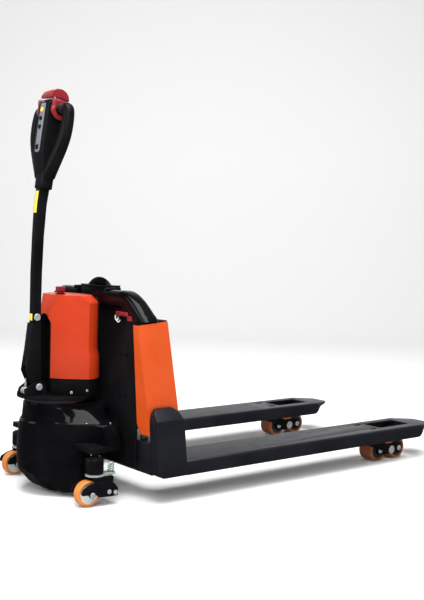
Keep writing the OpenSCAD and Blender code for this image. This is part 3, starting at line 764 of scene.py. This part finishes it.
def make_drive_cover():
    """A domed shell, open towards the forks, with a slot for each caster arm of the frame."""
    made = cut(cover_volume(0), cover_volume(4))
    tools = [brick("t", (MAST - 2, -400, -10), (MAST + 300, 400, 400)),
             brick("t", (STEER, -92.5, 250), (STEER + 200, 92.5, 290)),
             brick("t", (STEER + 112, -140, POCKET_TOP), (STEER + 200, 140, 225)),
             brick("t", (STEER + 26, -300, -10), (STEER + 200, 300, POCKET_TOP))]
    low_edge = [(STEER - 200, -10), (STEER - 200, 140), (STEER - 33, 14), (STEER - 33, -10)]
    tools.append(prism("t", low_edge, "y", -300, 300))
    for s in (-1, 1):
        low, high = sorted((s * 130, s * 300))
        tools.append(brick("t", (STEER - 21, low, 149), (STEER + 31, high, 167)))
    cut(made, *tools)
    shade(made, 38)
    wear(made, "chassis", "gloss_cover", "drive_cover")
    # rib seam with a screw on each side of it, on each rear slope
    rib_from = 73
    for s, side in SIDES:
        path = []
        for j in range(13):
            t = 0.03 + 0.93 * j / 12
            k = (rib_from - 26 * t) / 360 * STEPS
            x, y, z = dome(k if s > 0 else STEPS - k, t)
            path.append((x, y, z + 0.8))
        rib = sweep("cover_rib_" + side, path, lambda i, n: oval(2.2, 2.8, 2.4, 16), (0, 0, 1))
        wear(shade(rib, 60), "chassis", "gloss_cover")
        for j, spread in enumerate((-3, 4)):
            k = rib_from / 360 * STEPS + spread
            x, y, z = dome(k if s > 0 else STEPS - k, 0.05)
            screw = round_bolt(f"cover_screw_{side}_{j}", (x, y, z - 0.6), "z", 3.4, 3.0)
            wear(screw, "chassis", "bright_steel")


make_drive_cover()


# ---------- steering head ----------

def head_ring(shrink, z, flare=0.0):
    """The rounded square plan of the head at one height, wider by the flare towards the forks."""
    ring, steps, power = [], 120, 2.55
    half = 113 - shrink
    for k in range(steps):
        a = tau * k / steps
        c, sn = cos(a), sin(a)
        r = (abs(c / half) ** power + abs(sn / half) ** power) ** (-1 / power)
        r += flare * step_between(c, 0.1, 0.6)
        ring.append((STEER + r * c, r * sn, z))
    return ring


def front_tool(back):
    """Everything ahead of the flat front and the slanting cheeks, moved back by a distance."""
    x = STEER + back
    cheek = [(x - 300, -300), (x + 45, -300), (x + 45, -110), (x - 10, -68), (x - 45, -26)]
    return prism("t", cheek + [(a, -b) for a, b in reversed(cheek)], "z", 0, 720)


def lean_tool(back):
    """The front leans back above the recess."""
    x = STEER + back
    outline = [(x - 200, 531), (x - 45.5, 531), (x - 20, HEAD_TOP), (x - 20, 720), (x - 200, 720)]
    return prism("t", outline, "y", -200, 200)


def make_head():
    """The steering head: cover, lined recess, skirt, plate and stop button."""
    edge = [(0, HEAD_LOW - 40), (0, HEAD_TOP - 21), (19, HEAD_TOP), (60, HEAD_TOP)]
    profile = fillet(edge, [0, 12, 9, 0], 8)
    rings = []
    for rise in (0, 30, 55, 64, 74, 84, 96):
        rings.append(head_ring(0, HEAD_LOW + rise, 6.0 * (1 - step_between(rise, 58, 92))))
    for shrink, z in profile[1:-1]:
        rings.append(head_ring(shrink, z))
    rings.append(head_ring(70, HEAD_TOP))
    made = skin("head_cover_shell", rings)
    front = STEER - 45
    cut(made, front_tool(0), lean_tool(0))
    # recess behind the tiller with an arched top, and the stop button hole
    half, spring_z = 32, 500
    turns = [radians(a) for a in range(0, 181, 12)]
    arch = [(-half, HEAD_LOW - 9), (half, HEAD_LOW - 9)]
    arch += [(half * cos(a), spring_z + half * sin(a)) for a in turns]
    cut(made, prism("t", arch, "x", front - 20, STEER - 12))
    stop_x = STEER + 8
    cut(made, prism("t", circle(stop_x, 0, 14.6, 48), "z", HEAD_TOP - 12, HEAD_TOP + 9))
    clean(made)
    bevel(made, 4.5, 5, 22)
    wear(made, "steering", "orange_cover", "head_cover")
    liner = prism("head_liner", [(y * 0.99, z) for y, z in arch], "x", front + 1.5, STEER - 11.5)
    cut(liner, prism("t", [(y * 0.9, z - 2.5) for y, z in arch], "x", front - 9, STEER - 14))
    wear(shade(liner), "steering", "black_plastic")
    screw = round_bolt("head_screw", (STEER + 70, -98.0, HEAD_LOW + 16), "y", 4, -2.5)
    wear(screw, "steering", "black_paint")
    skirt = []
    for shrink, drop in ((3, 50), (0, 48), (0, 6), (1, 3), (6, 2), (6, 0.6)):
        skirt.append(head_ring(shrink, HEAD_LOW - drop, 4.0))
    band = skin("head_skirt_shell", skirt)
    cut(band, front_tool(2), prism("t", rectangle(-half, half, 280, 360), "x", front - 20, STEER - 10))
    bevel(band, 1.5, 3, 40)
    wear(band, "steering", "black_plastic", "head_skirt")
    for k, angle in enumerate((262, 290, 318, 42, 70, 98)):
        a, r = radians(angle), 116.5
        spot = (STEER + r * cos(a), r * sin(a), HEAD_LOW - 33)
        place = Matrix.Translation(spot) @ Matrix.Rotation(a, 4, "Z")
        screw = round_bolt(f"skirt_screw_{k}", (0, 0, 0), "x", 4.2, 3.0, place)
        wear(screw, "steering", "bright_steel")
    softened("steering_plate", "steering", "black_paint", 1.6, 3)
    softened("estop_base", "steering", "black_plastic", 1.0, 3)
    button = [(CORE, HEAD_TOP - 19), (9.9, HEAD_TOP - 19), (9.9, HEAD_TOP + 8.4), (13.7, HEAD_TOP + 9.2),
              (14.5, HEAD_TOP + 10.2), (14.5, HEAD_TOP + 20.4), (13.9, HEAD_TOP + 22), (12, HEAD_TOP + 22.9),
              (6, HEAD_TOP + 22.7), (CORE, HEAD_TOP + 22.6)]
    cap = lathe("estop_cap", button, (stop_x, 0, 0), "z", 96)
    for v in cap.data.vertices:
        spot = v.co / MM - Vector((stop_x, 0, 0))
        r = hypot(spot.x, spot.y)
        if r > 13.6 and HEAD_TOP + 9 < spot.z < HEAD_TOP + 21:
            k = 1 - 0.035 * (1 + cos(24 * atan2(spot.y, spot.x)))
            v.co.x = (stop_x + spot.x * k) * MM
            v.co.y = spot.y * k * MM
    wear(shade(cap, 25), "estop_push", "red_plastic", "estop_button")


make_head()


# ---------- tiller ----------

def make_tiller():
    """Sleeve, arm and pins of the tiller, its return spring and two plain labels."""
    softened("tiller_sleeve", "tiller", "black_paint", 1.3, 3)
    softened("tiller_arm", "tiller", "black_paint", 3.4, 4)
    softened("tiller_pins", "tiller", "bright_steel", 0.8, 2)
    spring_x, spring_z, coil_r = STEER - 105, 306, 8.9
    parts = []
    for s in (-1, 1):
        path = []
        for k in range(49):
            a = tau * 2 * k / 48 + pi / 2
            y = s * (4.2 + 5.0 * k / 48)
            path.append((spring_x + coil_r * cos(a), y, spring_z + coil_r * sin(a)))
        parts.append(sweep("c", path, lambda i, n: oval(1.5, 1.5, 2, 12), (0, 1, 0)))
        leg = [(spring_x, s * 4.2, spring_z + coil_r), (spring_x + 1.5, s * 3.6, spring_z + 18),
               (spring_x + 1, s * 2.4, spring_z + 28), (spring_x + 1, s * 1.0, spring_z + 36)]
        parts.append(sweep("c", smooth_path(leg, 5), lambda i, n: oval(1.5, 1.5, 2, 12), (0, 1, 0)))
    wear(shade(join("return_spring_coil", parts), 60), "steering", "bright_steel", "return_spring")
    bolt = round_bolt("tiller_bolt_head", (STEER - 76, -14.4, 522), "y", 10.5, -3.0)
    wear(bolt, "tiller", "bright_steel")
    head = round_bolt("hinge_pin_head", (STEER - 73, -29, 317), "y", 9.5, -2.0)
    wear(head, "tiller", "bright_steel")
    back = [(-80.6, 828), (-79.5, 850), (-73.9, 892)]
    outline = [(STEER + x - 0.7, z) for x, z in back] + [(STEER + x + 0.6, z) for x, z in reversed(back)]
    label = prism("arm_label", outline, "y", -8.5, 8.5)
    wear(bevel(label, 0.2, 2, 60), "tiller", "yellow_plastic")
    tag = brick("arm_tag", (STEER - 89.4, -8, 512), (STEER - 88.7, 8, 532))
    wear(bevel(tag, 0.2, 2), "tiller", "yellow_plastic")


make_tiller()


# ---------- handle ----------

def make_handle():
    """The handle shell with both hand loops, its grips, throttle, cap, plate and buttons."""
    # collar sections: height, half width, half depth
    collar = []
    for z, y, x in ((-2, 26.5, 18.5), (0, 28, 20), (14, 28.5, 20), (30, 30, 20), (44, 34, 19.5),
                    (58, 40, 19), (72, 44, 18), (84, 42, 16), (90, 34, 12)):
        collar.append([(u, v, z) for u, v in oval(x, y, 3.4, 40)])
    made = skin("collar", collar, place=HANDLE)
    # each hand loop: distance out, height, half depth, half width
    loop = [(20, 34, 20, 16), (34, 62, 19.5, 20), (53, 92, 18.5, 21), (72, 122, 17.5, 19.5),
            (85, 154, 17, 18.5), (89, 186, 16.5, 18), (88.5, 210, 16, 16.5), (85, 224, 16, 15.5),
            (79, 230.5, 16, 15.5), (70, 232, 15.5, 15.5)]
    for s in (-1, 1):
        path = smooth_path([(0, s * y, z, depth, width) for y, z, depth, width in loop], 6)
        fuse(made, sweep("arm", [p[:3] for p in path],
                         lambda i, n, path=path: oval(path[i][3], path[i][4], 2.5, 32), (1, 0, 0), HANDLE))
    pod_outline = [(-19, 40), (-35, 95), (-36, 246), (-28, 254), (-16, 259.5), (-4, 262),
                   (8, 260), (18, 254), (24, 245), (24, 60), (17, 40)]
    pod = prism("pod", fillet(pod_outline, [6, 20, 3, 3, 3, 3, 3, 3, 3, 14, 6], 5), "y", -30, 30, HANDLE)
    bevel(pod, 7.0, 5, 40)
    fuse(made, pod)
    cut(made, brick("t", (-18.5, -11.6, -12), (18.5, 11.6, 32), HANDLE))
    shade(made, 40)
    made.name = "handle_body"
    wear(made, "tiller", "black_plastic", "handle_shell")
    # thin grey trim between the pod and the cap
    arc = []
    for k in range(25):
        x = -34 + 64 * k / 24
        arc.append((x, 262.2 - 0.0062 * (x + 2) ** 2))
    strip = arc + [(x, z - 2.2) for x, z in reversed(arc)]
    trim = prism("cap_trim", strip, "y", -29, 29, HANDLE)
    wear(bevel(trim, 0.5, 2, 50), "tiller", "grey_plastic")
    # grips
    for s, side in SIDES:
        profile = [(13.1, 36.8), (15.2, 37), (16, 38)]
        for k in range(11):
            y = 41 + 3.4 * k
            profile += [(16, y), (15.55, y + 0.7), (15.55, y + 1.3), (16, y + 2.0)]
        profile += [(16, 79), (15.2, 80), (13.1, 80)]
        grip = lathe("grip_" + side, [(r, s * h) for r, h in profile], (0, 0, GRIP_Z), "y", 64, HANDLE)
        wear(shade(grip, 30), "tiller", "grip_rubber", "handle_grips")
    # butterfly throttle
    levers, reach = [], 27
    for s in (-1, 1):
        path = []
        for k in range(9):
            path.append((-reach + 0.6 * k, s * 42.5, GRIP_Z + 30 - 3.75 * k))
        for k in range(1, 25):
            a = radians(180 + 200 * k / 24)
            path.append((reach * cos(a), s * 42.5, GRIP_Z + reach * sin(a)))

        def section(i, n):
            end = min(i, n - 1 - i)
            k = sqrt(max(1 - (1 - min(end / 3, 1)) ** 2, 0.03))
            return oval(7.6 * k, 6.4 * k, 2.6, 20)
        levers.append(sweep("lever", path, section, (0, 1, 0), HANDLE))
        disc = [(10.1, 31.2), (27, 31.2), (29, 32), (29, 35.5), (26, 37), (12, 37), (10.1, 36)]
        levers.append(lathe("disc", [(r, s * y) for r, y in disc], (0, 0, GRIP_Z), "y", 48, HANDLE))
    wear(join("throttle_levers", levers), "throttle_lever", "red_plastic", "throttle")
    # reverse safety button
    cap = [(x, 266.0 - 0.0056 * (x + 2) ** 2) for x in (-33, -24, -12, -2, 8, 20, 29)]
    cap += [(29.5, 266), (26, 277), (18, 286), (7, 291.5), (-4, 292), (-15, 290), (-25, 283), (-32, 271)]
    button = prism("reverse_cap", fillet(cap, 2.5, 3), "y", -29, 29, HANDLE)
    bevel(button, 6.0, 5, 40)
    wear(button, "reverse_push", "red_plastic", "reverse_button")
    # control plate and buttons
    outline = fillet(rectangle(-13, 13, 100, 245), [9, 9, 5, 5])
    plate = prism("control_plate", outline, "x", -38.6, -35.5, HANDLE)
    wear(bevel(plate, 0.9, 3, 40), "tiller", "grey_plastic", "face_plate")
    profile = [(CORE, 0), (6.5, 0), (6.5, -2.6), (5.9, -3.4), (4, -3.7), (CORE, -3.4)]
    for z, name, colour in ((225, "horn", "yellow_plastic"), (200, "lift", "black_plastic"),
                            (175, "lower", "black_plastic")):
        key = lathe(name + "_key", profile, (-38.2, 0, z), "x", 40, HANDLE)
        wear(shade(key, 25), name + "_push", colour, name + "_button")
    square = prism("speed_key", fillet(rectangle(-6.5, 6.5, 108.5, 121.5), 1.5), "x", -41.4, -38, HANDLE)
    wear(bevel(square, 0.7, 3, 40), "speed_push", "black_plastic", "speed_button")


make_handle()


# ---------- body: panels, hood, battery ----------

def make_panels():
    for _, side in SIDES:
        softened("side_panel_" + side, "chassis", "orange_paint", 1.3, 3)
    softened("front_cover", "chassis", "black_paint", 1.0, 2)
    softened("chassis_frame", "chassis", "black_paint", 1.0, 2)
    softened("battery_box", "chassis", "black_paint", 1.2, 2)


def make_hood():
    """The hoop between the side panels, cut clear of the head and the battery."""
    low, high = span("hood")
    mid_x = (low.x + high.x) / 2
    half_x = (high.x - low.x) / 2
    # stations of the hoop: side, height, half thickness
    right = [(-298, 509, 14), (-294, 512.7, 14.3), (-277.8, 524.2, 17.2), (-258.9, 534.3, 21),
             (-241, 544.8, 24.4), (-223.3, 554.8, 27.4), (-203, 566.5, 27.8), (-184.5, 575.5, 27),
             (-169, 580, 26), (-150, 581, 25)]
    line = right + [(0, 581, 25)] + [(-y, z, t) for y, z, t in reversed(right)]
    pts = smooth_path([(mid_x, y, z, t) for y, z, t in line], 5)
    path = [p[:3] for p in pts]
    made = sweep("hood_shell", path, lambda i, n: oval(half_x, pts[i][3], 3.6, 48), (1, 0, 0))
    tools = [prism("t", circle(STEER, 0, 125, 96), "z", 480, 593),
             brick("t", (MAST + 7.4, -72, 480), (MAST + 53, 72, 700)),
             brick("t", (STEER + 80, -76, 579), (STEER + 260, 76, 700)),
             brick("t", (low.x - 5, -400, 480), (high.x + 5, 400, 524))]
    cut(made, *tools)
    wear(shade(made, 40), "chassis", "gloss_cover", "hood")
    for s, side in SIDES:
        collar = brick("hood_collar_" + side, (low.x + 3, s * 89 - 11, 596), (high.x - 3, s * 89 + 11, 611))
        wear(bevel(collar, 5.0, 4), "chassis", "gloss_cover")


def make_battery():
    """The battery pack, its top block with a finger pocket under the grip, and its plug."""
    low, high = span("battery_pack")
    x0, x1 = low.x, high.x
    pack = brick("pack", (MAST + 8, -70, low.z), (MAST + 50, 70, 592.4))
    bevel(pack, 3, 3)
    wear(pack, "battery", "black_plastic", "battery_pack")
    block = prism("block", fillet(rectangle(x0, x1, low.y, high.y), 14, 8), "z", 580, 616)
    pocket = prism("t", fillet(rectangle(x0 + 5, x1 - 5, -38, 38), 8), "z", 596, 640)
    cut(block, pocket)
    clean(block)
    bevel(block, 8.0, 6, 50)
    wear(block, "battery", "gloss_cover")
    arch, arch_r, arch_z = [], 79, 548
    for k in range(41):
        a = radians(43 + 94 * k / 40)
        arch.append((x0 + 29, arch_r * cos(a), arch_z + arch_r * sin(a)))
    grip = sweep("battery_grip", arch, lambda i, n: oval(7, 13, 2.8, 28), (1, 0, 0))
    wear(shade(grip, 50), "battery", "gloss_cover")
    softened("battery_connector", "chassis", "red_plastic", 1.5, 3)
    clips = []
    for k in (0, 1):
        out, down = 8 * k, 4 * k
        hook = [(MAST - 16 + down, -142 - 10 * k, 533 - down), (MAST - 19, -146 - out, 524 - down),
                (MAST - 18, -153 - out, 518 - down), (MAST - 15, -158 - out, 524 - down)]
        clips.append(sweep("c", smooth_path(hook, 5), lambda i, n: oval(2.2, 1.6, 3, 12), (1, 0, 0)))
    wear(shade(join("cable_clips", clips), 60), "chassis", "white_plastic")


make_panels()
make_hood()
make_battery()


# ---------- hidden mechanics keep their CAD shape with rounded edges ----------

def make_inside():
    softened("slew_ring", "chassis", "grey_steel", 0.8, 2)
    softened("lift_cylinders", "chassis", "grey_steel", 1.0, 2)
    softened("lift_rods", "carriage", "bright_steel", 0.6, 2)
    softened("power_pack", "chassis", "aluminium", 1.5, 3)
    softened("chassis_bolts", "chassis", "black_paint", 0.6, 2)
    softened("drive_gearbox", "steering", "cast_iron", 2.5, 3)
    softened("drive_motor", "steering", "cast_iron", 2.0, 3)
    softened("controller", "steering", "aluminium", 2.0, 2)
    softened("drive_tyre", "drive_wheel", "tyre_rubber", 4.0, 4)
    softened("drive_hub", "drive_wheel", "cast_iron", 1.5, 2)
    softened("torsion_shaft", "torsion", "grey_steel", 1.0, 2)
    for side in ("left", "right"):
        softened("push_rod_" + side, "rod_" + side, "grey_steel", 0.8, 2)


make_inside()


# ---------- stage, light and camera ----------

def make_stage():
    """A pale floor that curves up into a wall, and a plain white sky."""
    pale = bpy.data.materials.new("stage_pale")
    pale.use_nodes = True
    surface = pale.node_tree.nodes["Principled BSDF"]
    surface.inputs["Base Color"].default_value = (0.92, 0.92, 0.92, 1)
    surface.inputs["Roughness"].default_value = 0.8
    size, rise, level, bend = 14000.0, 7000.0, 4200, 1500
    turns = [radians(a) for a in range(6, 91, 6)]
    profile = [(-size, 0), (level, 0)]
    profile += [(level + bend * sin(a), bend - bend * cos(a)) for a in turns]
    profile += [(level + bend, rise)]
    turn = Matrix.Rotation(radians(51.3), 4, "Z")
    # the level part is hidden from reflections, so upright black faces stay dark
    for name, line, reflected in (("stage_floor", profile[:2], False), ("stage_wall", profile[1:], True)):
        points, faces = [], []
        for x, z in line:
            points += [(x, -size, z), (x, size, z)]
        for k in range(len(line) - 1):
            faces.append([2 * k, 2 * k + 1, 2 * k + 3, 2 * k + 2])
        part = new_object(name, points, faces, turn)
        shade(part, 60)
        part.data.materials.append(pale)
        part.visible_glossy = reflected
    world = bpy.data.worlds.new("studio")
    world.use_nodes = True
    sky = world.node_tree.nodes["Background"]
    sky.inputs["Color"].default_value = (1, 1, 1, 1)
    # reflections see a dimmer room, so black surfaces stay deep and the lamps give the highlights
    path = world.node_tree.nodes.new("ShaderNodeLightPath")
    dim = world.node_tree.nodes.new("ShaderNodeMath")
    dim.operation = "MULTIPLY_ADD"
    dim.inputs[1].default_value = -0.36
    dim.inputs[2].default_value = 0.45
    world.node_tree.links.new(path.outputs["Is Glossy Ray"], dim.inputs[0])
    world.node_tree.links.new(dim.outputs[0], sky.inputs["Strength"])
    bpy.context.scene.world = world
    bpy.context.scene.view_settings.view_transform = "Standard"


def lamp(name, at, target, size, power):
    """A rectangular lamp that points at a target."""
    made = bpy.data.lights.new(name, "AREA")
    made.shape, made.size, made.size_y = "RECTANGLE", size[0], size[1]
    made.energy = power
    holder = bpy.data.objects.new(name, made)
    bpy.context.collection.objects.link(holder)
    holder.location = at
    holder.rotation_euler = (Vector(target) - Vector(at)).to_track_quat("-Z", "Y").to_euler()
    return holder


def make_lights():
    lamp("overhead", (-0.6, -0.8, 4.2), (-0.2, 0, 0), (3.4, 3.4), 300)
    lamp("key", (-2.4, -2.8, 2.6), (-0.2, 0, 0.3), (1.8, 1.4), 60)
    lamp("side", (-3.2, 1.2, 1.6), (-0.5, 0, 0.4), (1.4, 1.4), 24)


def make_camera():
    """The camera that fits the forks, the rollers and the floor contacts; it is turned a little."""
    data = bpy.data.cameras.new("camera")
    data.lens = 57.87
    data.sensor_width = 36
    data.sensor_fit = "AUTO"
    data.dof.use_dof = False
    holder = bpy.data.objects.new("camera", data)
    bpy.context.collection.objects.link(holder)
    yaw, pitch, roll = radians(38.74), radians(3.57), radians(1.51)
    ahead = Vector((sin(yaw) * cos(pitch), cos(yaw) * cos(pitch), -sin(pitch)))
    right = Vector((cos(yaw), -sin(yaw), 0))
    up = right.cross(ahead)
    over = right * cos(roll) + up * sin(roll)
    tall = -right * sin(roll) + up * cos(roll)
    eye = Vector((HEEL - 1682.44, -2534.63, 762.29)) * MM
    holder.matrix_world = Matrix.Translation(eye) @ Matrix((over, tall, -ahead)).transposed().to_4x4()
    bpy.context.scene.camera = holder


make_stage()
make_lights()
make_camera()
